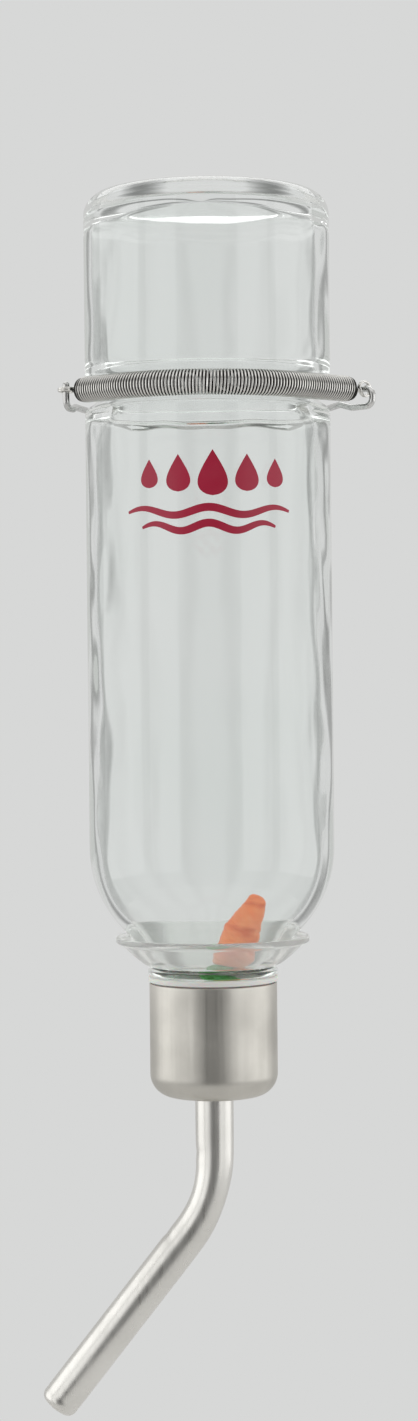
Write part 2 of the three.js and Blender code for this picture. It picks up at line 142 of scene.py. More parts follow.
BEND_Z = -197.7
BEND_R = 32.0
BEND_ANGLE = math.radians(38.2)
SPOUT_LENGTH = 64.0
TIP_MOUTH_R = 2.8
TUBE_WALL = 0.5
CURL_R = 1.5                           # the rolled-in tip
CURL_LENGTH = 2.05
CURL_RUN = 3.4
BEND_FLATTENING = 0.38
BEND_SPREAD = 8.5
PRESS_MARK = 0.16

SPRING_R = 3.15
SPRING_WIRE = 0.64
SPRING_PITCH = 0.75
SPRING_RING_R = 30.2
SPRING_WRAP = math.radians(42.6)
SPRING_TAIL_LEFT = 13.6
SPRING_TAIL_RIGHT = 19.0
COIL_SIDES = 7
COIL_STEPS = 26                        # to a turn
COIL_CLOSING = 0.45                    # the end turns are this much smaller
COIL_CLOSING_RUN = 2.4
EYE_R = 1.75
EYE_OUT = 2.45
HOOK_WIRE_R = 0.8
CAGE_GAP = 5.0

FLOAT_TILT = math.radians(27)
FLOAT_TIP = Vector((11.8, AXIS_Y, -122.8))
FLOAT_BODY_LENGTH = 18.2
FLOAT_LENGTH = 31.0
CREASE_COUNT = 60
CREASE_HALF_WIDTH = 0.006              # as a share of the root's length
CREASE_DEPTH = 0.15


# ---- mesh helpers (millimetres)

def make_piece(name, verts, faces, material, body=None, replaces=(), slot=None):
    """A smooth piece with its faces pointing out. It rides on the body, if one is given."""
    mesh = bpy.data.meshes.new(name)
    mesh.from_pydata([Vector(v) * MM for v in verts], [], faces)
    mesh.validate()
    outward = bmesh.new()
    outward.from_mesh(mesh)
    bmesh.ops.recalc_face_normals(outward, faces=outward.faces)
    outward.to_mesh(mesh)
    outward.free()
    mesh.polygons.foreach_set("use_smooth", [True] * len(mesh.polygons))
    mesh.materials.append(material)
    mesh.update()
    piece = bpy.data.objects.new(name, mesh)
    bpy.context.scene.collection.objects.link(piece)
    if body:
        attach(piece, body)
    if replaces:
        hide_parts(*replaces)
    return piece


def make_turned(name, outline, step, sides, material, body, node, slot):
    """A piece turned from a closed outline, which is first cut into short steps."""
    make_piece(name, *lathe(refine(outline, step), sides), material, body, [node], slot)


def ring_faces(rings, sides, first=0, loop=False):
    """Quads between neighbouring rings of vertices, and from the last to the first in a loop."""
    faces = []
    for i in range(rings if loop else rings - 1):
        low = first + i * sides
        high = first + (i + 1) % rings * sides
        for k in range(sides):
            n = (k + 1) % sides
            faces.append([low + k, low + n, high + n, high + k])
    return faces


def end_faces(rings, sides):
    """The flat faces that close the first and the last ring."""
    last = (rings - 1) * sides
    return [list(range(sides - 1, -1, -1)), [last + k for k in range(sides)]]


def round_faces(rings, sides):
    """Faces of a round body: one pole, then rings of vertices, then the other pole."""
    faces = ring_faces(rings, sides, 1)
    pole = rings * sides + 1
    for k in range(sides):
        n = (k + 1) % sides
        faces.append([0, 1 + n, 1 + k])
        faces.append([pole, pole - sides + k, pole - sides + n])
    return faces


def arc(r, z, radius, start, end, steps):
    """Points on an arc about (r, z), angles in degrees."""
    points = []
    for i in range(steps + 1):
        a = math.radians(start + (end - start) * i / steps)
        points.append((r + radius * math.cos(a), z + radius * math.sin(a)))
    return points


def refine(outline, longest):
    """The same outline with no step longer than the one given."""
    fine = []
    for (r0, z0), (r1, z1) in zip(outline, outline[1:]):
        steps = max(1, math.ceil(math.hypot(r1 - r0, z1 - z0) / longest))
        for i in range(steps):
            t = i / steps
            fine.append((r0 + (r1 - r0) * t, z0 + (z1 - z0) * t))
    fine.append(outline[-1])
    return fine


def rounded(outline):
    """Cuts the corners of an open outline, so it turns smoothly. Both ends stay."""
    for _ in range(2):
        cut = [outline[0]]
        for a, b in zip(outline, outline[1:]):
            for t in (0.25, 0.75):
                cut.append(tuple(p + (q - p) * t for p, q in zip(a, b)))
        cut.append(outline[-1])
        outline = cut
    return outline


def lathe(outline, segments, closed=True, move=None):
    """Turns an (r, z) outline about the bottle's axis. A point on the axis is one vertex.

    A closed outline's last point joins its first. The function `move` may shift each point.
    """
    verts, faces, rows = [], [], []
    for r, z in outline:
        if r < 1e-6:
            rows.append([len(verts)] * segments)
            verts.append((0.0, AXIS_Y, z))
            continue
        rows.append([len(verts) + k for k in range(segments)])
        for k in range(segments):
            a = TAU * k / segments
            rr, zz = move(r, z, a) if move else (r, z)
            verts.append((rr * math.cos(a), AXIS_Y + rr * math.sin(a), zz))
    pairs = list(zip(rows, rows[1:]))
    if closed:
        pairs.append((rows[-1], rows[0]))
    for low, high in pairs:
        for k in range(segments):
            n = (k + 1) % segments
            corners = []
            for v in (low[k], low[n], high[n], high[k]):
                if v not in corners:
                    corners.append(v)
            if len(corners) > 2:
                faces.append(corners)
    return verts, faces


def frames_along(points):
    """The side and up directions at each point of a path, without twist."""
    count = len(points)
    tangents = []
    for i in range(count):
        a = points[max(i - 1, 0)]
        b = points[min(i + 1, count - 1)]
        tangents.append((b - a).normalized())
    guide = Vector((0, 0, 1)) if abs(tangents[0].z) < 0.9 else Vector((0, 1, 0))
    side = tangents[0].cross(guide).normalized()
    result = []
    for t in tangents:
        side = (side - t * side.dot(t)).normalized()
        result.append((side, t.cross(side)))
    return result


def sweep(points, section):
    """Runs a closed section, given as a function of the step, along a path of Vectors."""
    verts = []
    for i, (p, (side, up)) in enumerate(zip(points, frames_along(points))):
        verts += [p + side * x + up * y for x, y in section(i)]
    sides = len(section(0))
    return verts, ring_faces(len(points), sides) + end_faces(len(points), sides)


def circle(radius, sides):
    """A round section as (side, up) points."""
    return [
        (radius * math.cos(TAU * k / sides), radius * math.sin(TAU * k / sides))
        for k in range(sides)
    ]


def rounded_bar(points, radius, sides):
    """A wire along a path, with eased ends."""
    lengths = [0.0]
    for a, b in zip(points, points[1:]):
        lengths.append(lengths[-1] + (b - a).length)

    def section(i):
        from_end = min(lengths[i], lengths[-1] - lengths[i])
        ease = 1 - min(from_end / (radius * 0.8), 1.0)
        return circle(radius * math.sqrt(1 - 0.8 * ease ** 2), sides)

    return sweep(points, section)


def add_to(mesh_parts, verts, faces):
    """Joins a mesh to the vertices and faces gathered so far."""
    start = len(mesh_parts[0])
    mesh_parts[0].extend(verts)
    mesh_parts[1].extend([[start + k for k in face] for face in faces])


def filleted(points, radius, step):
    """A path through the points with round corners, cut into short steps."""
    path = [points[0]]
    for i in range(1, len(points) - 1):
        corner = points[i]
        back = (points[i - 1] - corner).normalized()
        ahead = (points[i + 1] - corner).normalized()
        angle = math.pi - back.angle(ahead)
        cut = radius * math.tan(angle / 2)
        start = corner + back * cut
        inward = (ahead - back * ahead.dot(back)).normalized()
        steps = max(2, math.ceil(radius * angle / step))
        for k in range(steps + 1):
            turn = angle * k / steps
            along = -back * radius * math.sin(turn)
            path.append(start + along + inward * radius * (1 - math.cos(turn)))
    path.append(points[-1])
    fine = [path[0]]
    for a, b in zip(path, path[1:]):
        count = max(1, math.ceil((b - a).length / step))
        for k in range(1, count + 1):
            fine.append(a.lerp(b, k / count))
    return fine


# ---- material helpers

NOISE_LOW = 0.3                        # most of a noise's values lie between these two
NOISE_HIGH = 0.7


def rgba(colour):
    """An opaque colour."""
    return (*colour, 1.0)


class Tree:
    """A node tree under construction."""

    def __init__(self, owner):
        owner.use_nodes = True
        self.nodes = owner.node_tree.nodes
        self.link = owner.node_tree.links.new

    def add(self, kind, **settings):
        """A new node with its settings."""
        node = self.nodes.new(kind)
        for key, value in settings.items():
            setattr(node, key, value)
        return node

    def feed(self, value, target):
        """Links a socket to the target, or sets the target to a plain value."""
        if isinstance(value, bpy.types.NodeSocket):
            self.link(value, target)
        else:
            target.default_value = value

    def ramp(self, source, stops):
        """Colours at places from 0 to 1 along the source's value."""
        node = self.add("ShaderNodeValToRGB")
        elements = node.color_ramp.elements
        while len(elements) < len(stops):
            elements.new(0.5)
        for element, (place, colour) in zip(elements, stops):
            element.position = place
            element.color = rgba(colour)
        self.link(source, node.inputs["Fac"])
        return node.outputs["Color"]

    def mix(self, factor, first, second, blend="MIX"):
        """A mix of two colours. They and the factor are sockets or plain values."""
        node = self.add("ShaderNodeMix", data_type="RGBA", blend_type=blend)
        self.feed(factor, node.inputs[0])
        for place, colour in ((6, first), (7, second)):
            self.feed(rgba(colour) if isinstance(colour, tuple) else colour, node.inputs[place])
        return node.outputs[2]

    def math(self, operation, *values):
        """A calculation with sockets and plain numbers."""
        node = self.add("ShaderNodeMath", operation=operation)
        for value, target in zip(values, node.inputs):
            self.feed(value, target)
        return node.outputs[0]

    def remap(self, source, start, end, low=0.0, high=1.0):
        """The source's value, with start to end spread over low to high."""
        node = self.add("ShaderNodeMapRange")
        node.inputs["From Min"].default_value = start
        node.inputs["From Max"].default_value = end
        node.inputs["To Min"].default_value = low
        node.inputs["To Max"].default_value = high
        self.link(source, node.inputs["Value"])
        return node.outputs["Result"]


class Material(Tree):
    """A material under construction, with a Principled shader."""

    def __init__(self, name):
        self.material = bpy.data.materials.new(name)
        super().__init__(self.material)
        self.shader = self.nodes["Principled BSDF"]
        self.output = self.nodes["Material Output"]
        self.position = self.add("ShaderNodeTexCoord").outputs["Object"]

    def set(self, **values):
        """Plain values for the shader's inputs."""
        for key, value in values.items():
            self.shader.inputs[key.replace("_", " ")].default_value = value

    def drive(self, **sockets):
        """Links nodes to the shader's inputs."""
        for key, socket in sockets.items():
            self.link(socket, self.shader.inputs[key.replace("_", " ")])

    def noise(self, scale, detail, stretch=(1, 1, 1), roughness=0.5):
        """A noise through the whole piece, slower along an axis with a small stretch value."""
        mapping = self.add("ShaderNodeMapping")
        mapping.inputs["Scale"].default_value = stretch
        self.link(self.position, mapping.inputs["Vector"])
        node = self.add("ShaderNodeTexNoise")
        node.inputs["Scale"].default_value = scale
        node.inputs["Detail"].default_value = detail
        node.inputs["Roughness"].default_value = roughness
        self.link(mapping.outputs["Vector"], node.inputs["Vector"])
        return node.outputs["Fac"]

    def tones(self, noise, dark, light):
        """A noise as a colour between two tones."""
        return self.ramp(noise, [(NOISE_LOW, dark), (NOISE_HIGH, light)])

    def range(self, noise, low, high):
        """A noise as a number between two values."""
        return self.remap(noise, NOISE_LOW, NOISE_HIGH, low, high)

    def bump(self, height, distance, strength):
        """Raises the surface by up to a distance in metres."""
        node = self.add("ShaderNodeBump")
        node.inputs["Strength"].default_value = strength
        node.inputs["Distance"].default_value = distance
        self.link(height, node.inputs["Height"])
        return node.outputs["Normal"]


# ---- materials

SUBSURFACE_REACH = 0.003               # how far light spreads inside plastic, in metres
CLEAR_RAY_DEPTH = 4.5                  # after this many turns a ray goes straight through


def steel(name, dark, light, rough, grain=(1, 1, 1), grain_scale=1200.0, anisotropy=0.0):
    """Satin or bright stainless: a fine grain, cloudy colour and uneven gloss."""
    n = Material(name)
    lines = n.noise(grain_scale, 4.0, grain, 0.6)
    n.set(Metallic=1.0, Anisotropic=anisotropy)
    n.drive(
        Base_Color=n.tones(n.noise(60.0, 4.0), dark, light),
        Roughness=n.range(lines, rough - 0.05, rough + 0.07),
        Normal=n.bump(lines, 0.00002, 0.35),
    )
    return n.material


def coil_steel():
    """Bright spring wire, with painted shade where each coil turns in towards its neighbours."""
    n = Material("spring_wire_steel")
    bright = n.tones(n.noise(90.0, 3.0), (0.70, 0.69, 0.66), (0.84, 0.83, 0.80))
    # Painted shade: the wire's colour goes almost black where it lies deep between the coils.
    depth = n.add("ShaderNodeAttribute", attribute_name="crevice")
    painted_shade = n.ramp(depth.outputs["Fac"], [(0.07, (1, 1, 1)), (0.30, (0.05, 0.05, 0.047))])
    lines = n.noise(1500.0, 4.0)
    n.set(Metallic=1.0)
    n.drive(
        Base_Color=n.mix(1.0, bright, painted_shade, "MULTIPLY"),
        Roughness=n.range(lines, 0.14, 0.24),
        Normal=n.bump(lines, 0.00001, 0.3),
    )
    return n.material


def plastic(name, dark, light, rough, subsurface=0.0):
    """Moulded plastic: slight clouding, a soft moulded texture and uneven gloss."""
    n = Material(name)
    fine = n.noise(300.0, 5.0)
    n.set(Subsurface_Weight=subsurface, Subsurface_Scale=SUBSURFACE_REACH)
    n.drive(
        Base_Color=n.tones(n.noise(45.0, 4.0), dark, light),
        Roughness=n.range(fine, rough - 0.08, rough + 0.08),
        Normal=n.bump(fine, 0.00004, 0.5),
    )
    return n.material


def carrot_plastic():
    """Moulded orange plastic, with painted shade that makes the creases round the root darker and
    redder than its ridges.
    """
    n = Material("carrot_orange")
    cloud = n.noise(110.0, 3.0)
    creases = n.noise(210.0, 2.0, (0.4, 0.4, 2.0))
    base = n.tones(cloud, (0.95, 0.22, 0.06), (1.0, 0.42, 0.20))
    # Painted shade: the colour darkens and reddens where the crease noise sinks the bump.
    painted_shade = n.ramp(creases, [(0.34, (0.78, 0.50, 0.42)), (0.48, (1, 1, 1))])
    n.set(Subsurface_Weight=0.4, Subsurface_Scale=SUBSURFACE_REACH)
    n.drive(
        Base_Color=n.mix(1.0, base, painted_shade, "MULTIPLY"),
        Roughness=n.range(cloud, 0.28, 0.42),
        Normal=n.bump(creases, 0.0004, 0.6),
    )
    return n.material


def clear_material(name, ior, waviness, tints, clear):
    """Clear and a little wavy. Shadow rays and deeply reflected rays go straight through it."""
    n = Material(name)
    n.set(Transmission_Weight=clear, IOR=ior)
    n.drive(
        Base_Color=n.tones(n.noise(25.0, 2.0), *tints),
        Roughness=n.range(n.noise(900.0, 2.0), 0.0, 0.03),
        Normal=n.bump(n.noise(55.0, 2.0, (1, 1, 0.22)), waviness, 0.25),
    )
    path = n.add("ShaderNodeLightPath")
    deep = n.math("GREATER_THAN", path.outputs["Ray Depth"], CLEAR_RAY_DEPTH)
    through = n.add("ShaderNodeBsdfTransparent")
    through.inputs["Color"].default_value = rgba((0.95, 0.965, 0.955))
    mix = n.add("ShaderNodeMixShader")
    n.link(n.math("MAXIMUM", path.outputs["Is Shadow Ray"], deep), mix.inputs[0])
    n.link(n.shader.outputs[0], mix.inputs[1])
    n.link(through.outputs[0], mix.inputs[2])
    n.link(mix.outputs[0], n.output.inputs["Surface"])
    return n.material


glass_material = clear_material(
    "clear_glass", 1.45, 0.0007, ((0.955, 0.975, 0.965), (0.975, 0.985, 0.98)), 1.0
)
ring_material = clear_material(
    "clear_ring_plastic", 1.30, 0.0003, ((0.90, 0.90, 0.89), (0.95, 0.95, 0.94)), 0.80
)
cap_material = steel(
    "satin_cap_steel", (0.50, 0.485, 0.445), (0.68, 0.66, 0.61), 0.37, (1, 1, 0.03), 900.0, 0.3
)
tube_material = steel(
    "satin_tube_steel", (0.70, 0.69, 0.655), (0.80, 0.79, 0.755), 0.30, (1, 1, 0.04), 900.0
)
spring_material = coil_steel()
wire_material = steel("hanger_wire_steel", (0.55, 0.55, 0.54), (0.70, 0.70, 0.69), 0.22)
ball_material = steel("ball_steel", (0.66, 0.66, 0.66), (0.74, 0.74, 0.74), 0.10)
liner_material = plastic("liner_plastic", (0.80, 0.80, 0.77), (0.88, 0.88, 0.85), 0.42, 0.3)
seal_material = plastic("seal_silicone", (0.66, 0.65, 0.62), (0.74, 0.73, 0.70), 0.6, 0.3)
grommet_material = plastic("grommet_rubber", (0.05, 0.05, 0.05), (0.09, 0.09, 0.09), 0.7)
carrot_material = carrot_plastic()
leaf_material = plastic("leaf_green", (0.05, 0.30, 0.05), (0.13, 0.52, 0.11), 0.4, 0.1)
print_material = plastic("crimson_enamel", (0.40, 0.01, 0.04), (0.48, 0.02, 0.06), 0.35)


# ---- glass bottle

def groove_outline():
    """The groove round the body for the spring, with a rounded lip on both sides."""
    lip_r = GLASS_R - GROOVE_LIP_R
    cut = SPRING_RING_R - GROOVE_R
    reach = cut + GROOVE_LIP_R
    lip_z = math.sqrt(reach ** 2 - (SPRING_RING_R - lip_r) ** 2)
    meet = math.degrees(math.atan2(lip_z, SPRING_RING_R - lip_r))
    return [
        *arc(lip_r, -lip_z, GROOVE_LIP_R, 0, meet, 8),
        *arc(SPRING_RING_R, 0, cut, 180 + meet, 180 - meet, 14)[1:-1],
        *arc(lip_r, lip_z, GROOVE_LIP_R, -meet, 0, 8),
    ]


def glass_outside():
    """From the mouth's edge over the finish, bead, shoulder and groove to the middle of the base."""
    return [
        (NECK_BORE_R, MOUTH_Z + 0.9),
        *arc(NECK_BORE_R + MOUTH_EDGE_R, MOUTH_Z + MOUTH_EDGE_R, MOUTH_EDGE_R, 180, 270, 4),
        *arc(FINISH_R - MOUTH_EDGE_R, MOUTH_Z + MOUTH_EDGE_R, MOUTH_EDGE_R, 270, 360, 4),
        (FINISH_R, BEAD_BOTTOM_Z - 0.5),
        (FINISH_R + 0.5, BEAD_BOTTOM_Z),
        *arc(BEAD_R - BEAD_EDGE_R, BEAD_BOTTOM_Z + BEAD_EDGE_R, BEAD_EDGE_R, 270, 360, 4),
        *arc(BEAD_R - BEAD_EDGE_R, BEAD_TOP_Z - BEAD_EDGE_R, BEAD_EDGE_R, 0, 90, 4),
        *rounded([
            (WAIST_R, BEAD_TOP_Z + 0.5),
            (WAIST_R, WAIST_Z),
            (15.25, WAIST_Z + 1.2),
            (16.3, WAIST_Z + 2.5),
            (18.3, WAIST_Z + 4.7),
            (20.4, WAIST_Z + 7.0),
            *arc(GLASS_R - SHOULDER_ARC_R, SHOULDER_Z, SHOULDER_ARC_R, -43, 0, 12),
        ]),
        *groove_outline(),
        *arc(GLASS_R - BASE_CORNER_R, BASE_Z - BASE_CORNER_R, BASE_CORNER_R, 0, 90, 10),
        (BASE_RING_R + 0.6, BASE_Z),
        *rounded([
            (BASE_RING_R, BASE_Z),
            (BASE_RING_R - 2.2, BASE_Z - 0.9),
            (BASE_RING_R * 0.5, BASE_Z - PUNT_DEPTH * 0.85),
            (0, BASE_Z - PUNT_DEPTH),
        ]),
    ]


def glass_inside():
    """From the middle of the inner floor down the wall to the neck's bore."""
    inner_r = GLASS_R - WALL
    shoulder_r = SHOULDER_ARC_R - WALL
    floor_z = BASE_Z - BASE_THICKNESS - PUNT_DEPTH
    corner_r = inner_r - INNER_CORNER_R
    groove_steps = 32
    outline = [
        (0, floor_z),
        (inner_r * 0.45, floor_z + 0.4),
        (corner_r, floor_z + 1.6),
        *arc(corner_r, floor_z + 1.6 - INNER_CORNER_R, INNER_CORNER_R, 75, 0, 9),
    ]
    for i in range(groove_steps + 1):
        z = GROOVE_INNER_REACH * (1 - 2 * i / groove_steps)
        bulge = GROOVE_INNER_DEPTH * math.exp(-((z / GROOVE_INNER_SPREAD) ** 2))
        outline.append((inner_r - bulge, z))
    return outline + [
        *arc(inner_r - shoulder_r, SHOULDER_Z, shoulder_r, 0, -41, 12),
        *rounded([
            (18.4, WAIST_Z + 9.0),
            (16.0, WAIST_Z + 6.3),
            (13.8, WAIST_Z + 3.5),
            (12.2, WAIST_Z + 1.1),
            (10.9, WAIST_Z - 1.6),
            (NECK_BORE_R, WAIST_Z - 5.6),
            (NECK_BORE_R, WAIST_Z - 9.6),
        ])[1:],
    ]


def pressed(r, z, angle):
    """Inner wall of a moulded bottle: it swells and thins slowly round and down the bottle."""
    spot = Vector((math.cos(angle) * 1.3, math.sin(angle) * 1.3, z / 42))
    lump = noise.noise(spot * 1.7) * 0.34 + noise.noise(spot * 4.1) * 0.13
    fade = min(1.0, max(0.0, (z - SWELL_FOOT_Z) / SWELL_RISE))
    return r - (0.05 + lump) * fade, z


def build_glass():
    """The bottle, turned, with its inner wall pressed unevenly."""
    inside = refine(glass_inside(), 3.0)
    wall = set(inside)

    def press(r, z, angle):
        return pressed(r, z, angle) if (r, z) in wall and r > NECK_BORE_R else (r, z)

    return lathe(inside + refine(glass_outside(), 3.0), 144, closed=False, move=press)


def helix_ridge(inner_r, outer_r, inner_w, outer_w, start_angle):
    """A thread ridge that fades in and out, sunk a little into the wall it stands on."""
    steps = 120
    runs_in = 7                        # full height after a seventh of a turn
    verts = []
    for i in range(steps + 1):
        t = i / steps
        fade = min(1.0, min(t, 1 - t) * THREAD_TURNS * runs_in + 0.05)
        a = start_angle + t * THREAD_TURNS * TAU
        z = THREAD_MID_Z + (t - 0.5) * THREAD_TURNS * THREAD_PITCH
        crest = inner_r + (outer_r - inner_r) * fade
        for r, w in ((inner_r, -inner_w), (crest, -outer_w), (crest, outer_w), (inner_r, inner_w)):
            verts.append((
                r * math.cos(a), AXIS_Y + r * math.sin(a), z + w / 2 * (0.35 + 0.65 * fade)
            ))
    return verts, ring_faces(steps + 1, 4) + end_faces(steps + 1, 4)


make_piece(
    "glass_body", *build_glass(), glass_material, "bottle", ["glass_bottle"], "clear_glass"
)
make_piece(
    "neck_thread",
    *helix_ridge(FINISH_R - 0.02, THREAD_CREST_R, 2.3, 1.1, 0.0),
    glass_material, "bottle", (), "clear_glass",
)


# ---- neck ring

def ring_outline():
    """A thin skirt that follows the shoulder, with a rounded rim and a round inner edge."""
    under = rounded([
        (RING_HOLE_R + 0.3, WAIST_Z - 0.45),
        (17.4, WAIST_Z + 0.4),
        (19.6, WAIST_Z + 2.28),
        (21.6, WAIST_Z + 4.18),
        (RING_R - 1.5, WAIST_Z + 4.9),
        (RING_R - 0.8, WAIST_Z + 5.2),
    ])
    over = rounded([
        (RING_R - 1.3, WAIST_Z + 6.8),
        (RING_R - 1.8, WAIST_Z + 6.45),
        (20.8, WAIST_Z + 5.2),
        (18.7, WAIST_Z + 3.12),
        (16.8, WAIST_Z + 1.32),
        (RING_HOLE_R + 0.3, WAIST_Z + 0.45),
    ])
    return [
        *under,
        *arc(RING_R - RING_RIM_R, WAIST_Z + 5.8, RING_RIM_R, -80, 0, 6),
        *arc(RING_R - RING_RIM_R, WAIST_Z + 6.3, RING_RIM_R, 0, 100, 8),
        *over,
        *arc(RING_HOLE_R + 0.35, WAIST_Z, 0.42, 110, 250, 5),
    ]


make_turned(
    "clear_ring", ring_outline(), 1.2, 128, ring_material, "bottle", "neck_ring", "ring_plastic"
)


# ---- cap

def shell_outline():
    """A cup of thin sheet with a round corner, a hole for the tube and a rounded top edge."""
    corner = (CAP_R - CAP_CORNER_R, CAP_BOTTOM_Z + CAP_CORNER_R)
    hole = TUBE_R + SEAM_GAP
    return [
        *arc(hole + 0.2, CAP_BOTTOM_Z + CAP_SHEET / 2, CAP_SHEET / 2, 90, 270, 5),
        *arc(*corner, CAP_CORNER_R, -90, 0, 14),
        (CAP_R, CAP_TOP_Z - 0.9),
        *arc(CAP_R - CAP_SHEET / 2, CAP_TOP_Z - CAP_SHEET / 2, CAP_SHEET / 2, 0, 180, 6),
        (CAP_R - CAP_SHEET, CAP_TOP_Z - 0.9),
        *arc(*corner, CAP_CORNER_R - CAP_SHEET, 0, -90, 14),
    ]


make_turned(
    "cap_cup", shell_outline(), 2.5, 128, cap_material, "cap", "cap_shell", "cap_steel"
)


def liner_outline():
    """A thick cup inside the shell, with a boss round the tube and a rim above the steel."""
    floor_bottom = LINER_FLOOR_Z - LINER_FLOOR
    rim_bottom = CAP_TOP_Z + SEAM_GAP
    return [
        (GROMMET_R + SEAM_GAP, LINER_BOTTOM_Z),
        (LINER_BOSS_R, LINER_BOTTOM_Z),
        (LINER_BOSS_R + 0.4, floor_bottom),
        *arc(LINER_R - LINER_CORNER_R, floor_bottom + LINER_CORNER_R, LINER_CORNER_R, -90, 0, 5),
        (LINER_R, rim_bottom),
        *arc(LINER_RIM_R - 0.3, rim_bottom + 0.3, 0.3, -90, 0, 4),
        *arc(LINER_RIM_R - 0.45, LINER_TOP_Z - 0.45, 0.45, 0, 90, 5),
        (LINER_ROOT_R + 0.3, LINER_TOP_Z),
        (LINER_ROOT_R, LINER_TOP_Z - 0.4),
        (LINER_ROOT_R, LINER_FLOOR_Z),
        (GROMMET_R + SEAM_GAP, LINER_FLOOR_Z),
    ]


make_turned(
    "liner_cup", liner_outline(), 2.5, 112, liner_material, "cap", "cap_liner", "liner_plastic"
)
make_piece(
    "liner_thread",
    *helix_ridge(LINER_ROOT_R + 0.02, LINER_CREST_R, 2.2, 1.1, math.pi),
    liner_material, "cap", (), "liner_plastic",
)


def seal_outline():
    """A flat washer with a round outer edge."""
    middle = (seal_low.z + seal_high.z) / 2
    half = (seal_high.z - seal_low.z) / 2
    hole = TUBE_R + SEAM_GAP
    return [
        *arc(hole + 0.3, middle - half + 0.3, 0.3, 180, 270, 3),
        *arc(SEAL_R - half, middle, half, -90, 90, 8),
        *arc(hole + 0.3, middle + half - 0.3, 0.3, 90, 180, 3),
    ]


make_turned(
    "seal_washer", seal_outline(), 1.5, 80, seal_material, "seal", "mouth_seal", "seal_silicone"
)


def grommet_outline():
    """A bush round the tube, ribbed on the outside."""
    hole = TUBE_R + SEAM_GAP
    low = grommet_low.z
    high = grommet_high.z
    step = (high - low - 1.2) / GROMMET_RIBS
    outline = [(hole, low), (GROMMET_R - 0.3, low), (GROMMET_R, low + 0.3)]
    for i in range(GROMMET_RIBS):
        z = low + 0.6 + i * step
        outline += [
            (GROMMET_R, z),
            (GROMMET_R, z + step * 0.5),
            (GROMMET_R - 0.4, z + step * 0.6),
            (GROMMET_R - 0.4, z + step * 0.9),
        ]
    return outline + [(GROMMET_R, high - 0.3), (GROMMET_R - 0.3, high), (hole, high)]


make_turned(
    "grommet_bush", grommet_outline(), 1.5, 64,
    grommet_material, "cap", "tube_grommet", "grommet_rubber",
)


# ---- drinking tube

BORE_R = TUBE_R - TUBE_WALL
bend_cut = BEND_R * math.tan(BEND_ANGLE / 2)
upright_run = TUBE_TOP_Z - BEND_Z - bend_cut
bend_run = BEND_R * BEND_ANGLE
spout_run = SPOUT_LENGTH - bend_cut
tube_length = upright_run + bend_run + spout_run
spout_aim = Vector((-math.sin(BEND_ANGLE), 0, -math.cos(BEND_ANGLE)))
tip_point = Vector((0, AXIS_Y, BEND_Z)) + spout_aim * SPOUT_LENGTH


def tube_frame(s):
    """Centre, outward-of-bend side and across direction at a distance down the tube."""
    if s < upright_run:
        centre = Vector((0, AXIS_Y, TUBE_TOP_Z - s))
        turn = 0.0
    elif s < upright_run + bend_run:
        turn = (s - upright_run) / BEND_R
        start = Vector((0, AXIS_Y, TUBE_TOP_Z - upright_run))
        centre = start + Vector((-BEND_R * (1 - math.cos(turn)), 0, -BEND_R * math.sin(turn)))
    else:
        turn = BEND_ANGLE
        centre = tip_point - spout_aim * (tube_length - s)
    return centre, Vector((math.cos(turn), 0, -math.sin(turn))), Vector((0, 1, 0))


def tube_radius(radius, s, angle, outside):
    """Slight flattening and two faint press marks where the bending tool held the tube."""
    middle = upright_run + bend_run / 2
    near = math.exp(-(((s - middle) / BEND_SPREAD) ** 2))
    radius -= BEND_FLATTENING * near * abs(math.cos(angle)) ** 2
    if outside:
        inner_side = max(0.0, -math.cos(angle)) ** 2
        for place in (upright_run - 1.0, upright_run + bend_run + 2.5):
            radius -= PRESS_MARK * inner_side * math.exp(-(((s - place) / 1.1) ** 2))
            radius += PRESS_MARK * 0.4 * inner_side * math.exp(-(((s - place - 2.2) / 1.2) ** 2))
        radius = min(radius, TUBE_R)
    return radius


def tube_outline():
    """The outside and then the inside of the wall, as (radius, distance down the tube)."""
    margin = 16                        # fine steps from this far above the bend to below it
    stations = [upright_run - margin + i for i in range(int(bend_run) + 2 * margin + 2)]
    curl_angles = [math.radians(6 + 12 * k) for k in range(7)]
    outside = [
        (TUBE_R - 0.12, 0.0),
        (TUBE_R, 0.12),
        *[(TUBE_R, s) for s in stations],
        (TUBE_R, tube_length - CURL_RUN),
        (TUBE_R - 0.08, tube_length - 2.9),
        (TUBE_R - 0.02, tube_length - 2.4),
        *[
            (TUBE_R - CURL_R * (1 - math.cos(a)), tube_length - CURL_LENGTH * (1 - math.sin(a)))
            for a in curl_angles
        ],
        (TIP_MOUTH_R + 0.40, tube_length),
    ]
    inside = [
        (TIP_MOUTH_R + 0.14, tube_length - 0.02),
        (TIP_MOUTH_R, tube_length - 0.14),
        (TIP_MOUTH_R + 0.12, tube_length - 0.34),
        (TIP_MOUTH_R + 0.55, tube_length - 0.62),
        (BORE_R - 0.35, tube_length - 1.5),
        (BORE_R - 0.08, tube_length - 2.4),
        (BORE_R, tube_length - CURL_RUN),
        *[(BORE_R, s) for s in reversed(stations)],
        (BORE_R, 0.12),
        (BORE_R + 0.12, 0.0),
    ]
    return outside, inside


def build_tube():
    """The wall's outline, run round the tube's bent centre line."""
    outside, inside = tube_outline()
    sides = 64
    verts = []
    for index, (r, s) in enumerate(outside + inside):
        centre, side, across = tube_frame(s)
        for k in range(sides):
            a = TAU * k / sides
            rr = tube_radius(r, s, a, index < len(outside))
            verts.append(centre + side * rr * math.cos(a) + across * rr * math.sin(a))
    return verts, ring_faces(len(outside + inside), sides, loop=True)


make_piece(
    "spout_tube", *build_tube(), tube_material, "tube", ["drinking_tube"], "tube_steel"
)


